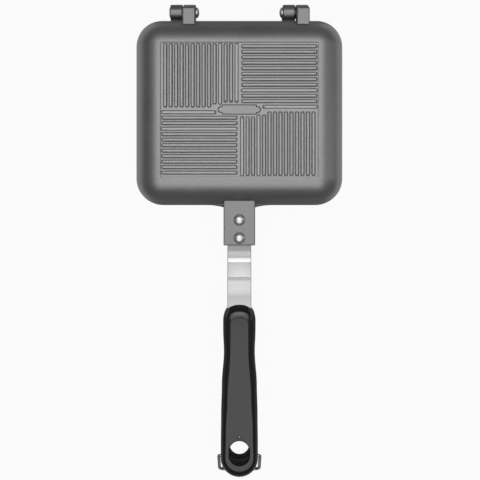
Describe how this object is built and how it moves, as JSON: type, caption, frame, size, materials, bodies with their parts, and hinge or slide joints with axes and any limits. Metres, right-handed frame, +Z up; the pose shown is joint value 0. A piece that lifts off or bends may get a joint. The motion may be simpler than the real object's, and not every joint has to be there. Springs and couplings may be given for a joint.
{
  "type": "camping sandwich toaster",
  "caption": "Hinged pair of grooved cast pans on long handles with riveted steel straps, black grips, hanging holes and a swinging wire latch, shown closed.",
  "frame": {"origin": "middle of the footprint, on the surface that the lower pan lies on", "axes": "+Z up, out of the upper pan; +Y towards the hinges, -Y towards the grips; +X across"},
  "size_m": [0.1594, 0.3672, 0.046],
  "materials": {
    "cast_pan": "grey satin non-stick coat on cast aluminium",
    "strap_steel": "polished strip with fine lengthwise lines",
    "rivet_steel": "bright domed heads",
    "grip_black": "glossy black moulded heat-proof plastic",
    "wire_steel": "bright drawn wire"
  },
  "bodies": {
    "lower_half": {"lower_pan": "cast_pan", "lower_strap": "strap_steel", "lower_strap_rivet_front": "rivet_steel", "lower_strap_rivet_rear": "rivet_steel", "lower_grip": "grip_black", "lower_grip_pin": "rivet_steel", "hinge_pin_left": "rivet_steel", "hinge_pin_right": "rivet_steel"},
    "upper_half": {"upper_pan": "cast_pan", "upper_strap": "strap_steel", "upper_strap_rivet_front": "rivet_steel", "upper_strap_rivet_rear": "rivet_steel", "upper_grip": "grip_black", "upper_grip_pin": "rivet_steel"},
    "latch": {"latch_bail": "wire_steel"}
  },
  "joints": [
    {"name": "pan_hinge", "type": "hinge", "parent": "lower_half", "child": "upper_half", "pos_m": [0, 0.17765, 0.023], "axis": [-1, 0, 0], "range_deg": [0, 180]},
    {"name": "latch_swing", "type": "hinge", "parent": "upper_half", "child": "latch", "pos_m": [0, -0.16535, 0.032], "axis": [-1, 0, 0], "range_deg": [-33.8, 214]}
  ]
}
